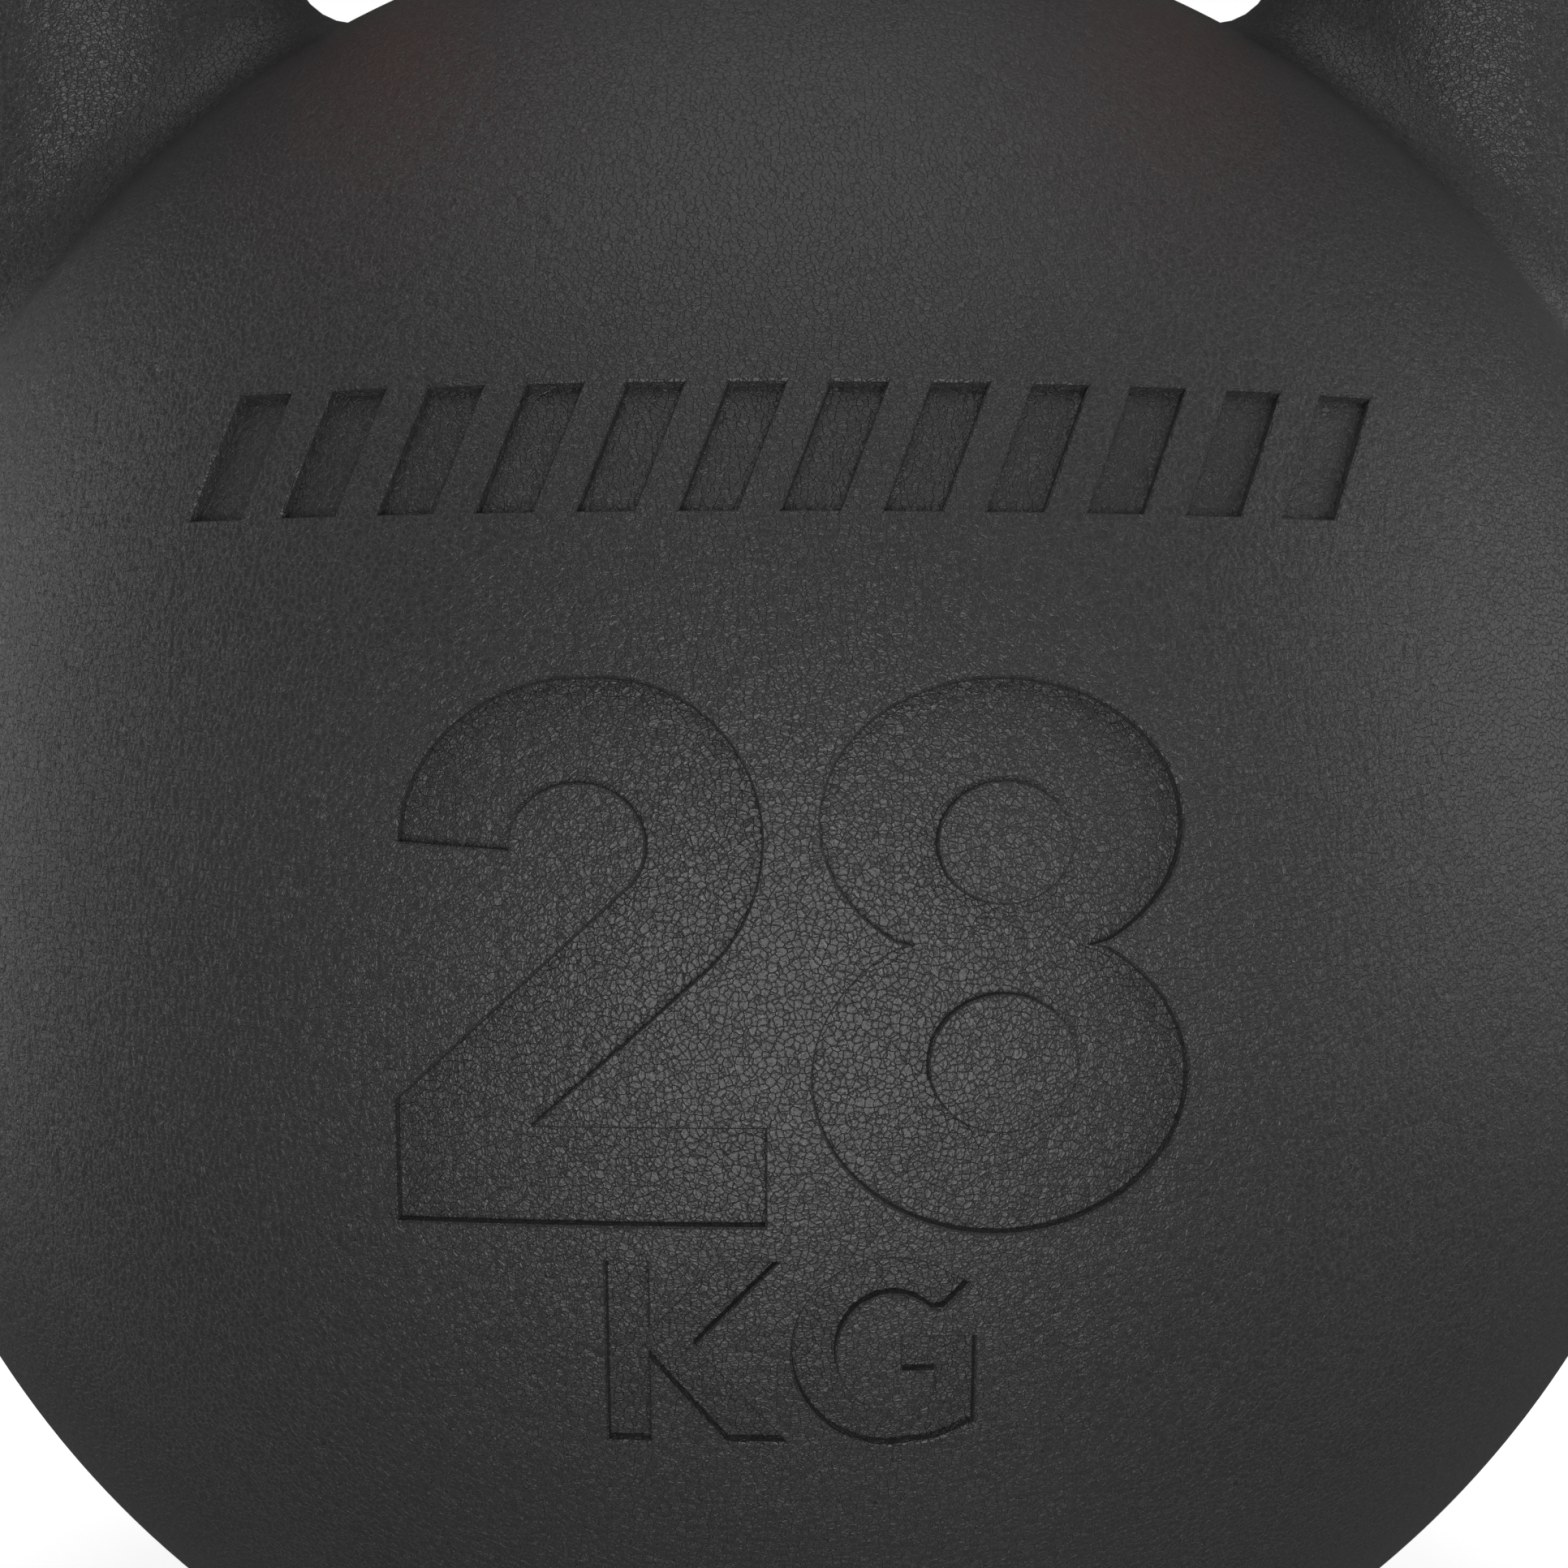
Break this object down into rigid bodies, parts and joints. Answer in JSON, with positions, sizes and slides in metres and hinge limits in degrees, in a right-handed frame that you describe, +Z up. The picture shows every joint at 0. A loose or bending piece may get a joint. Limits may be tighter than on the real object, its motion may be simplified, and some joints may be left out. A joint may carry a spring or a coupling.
{
  "type": "kettlebell",
  "caption": "Round kettlebell with a leather-grained urethane coat over an iron ball, and a bent steel handle with coloured bands on its legs.",
  "frame": {"origin": "middle of the base pad's underside", "axes": "+Z up, +X along the handle's grip to the right of someone who faces the weight marking, -Y out of the marked front"},
  "size_m": [0.21, 0.21, 0.282],
  "materials": {
    "urethane": "matte",
    "iron": "matte",
    "bar_steel": "satin",
    "band": "satin",
    "pin_steel": "satin",
    "ballast": "matte",
    "pad_rubber": "matte"
  },
  "bodies": {
    "root": {"urethane_coat": "urethane", "iron_core": "iron", "handle_bar": "bar_steel", "left_band": "band", "right_band": "band", "leg_pins": "pin_steel", "ballast": "ballast", "filler_plug": "pin_steel", "base_pad": "pad_rubber"}
  },
  "joints": []
}
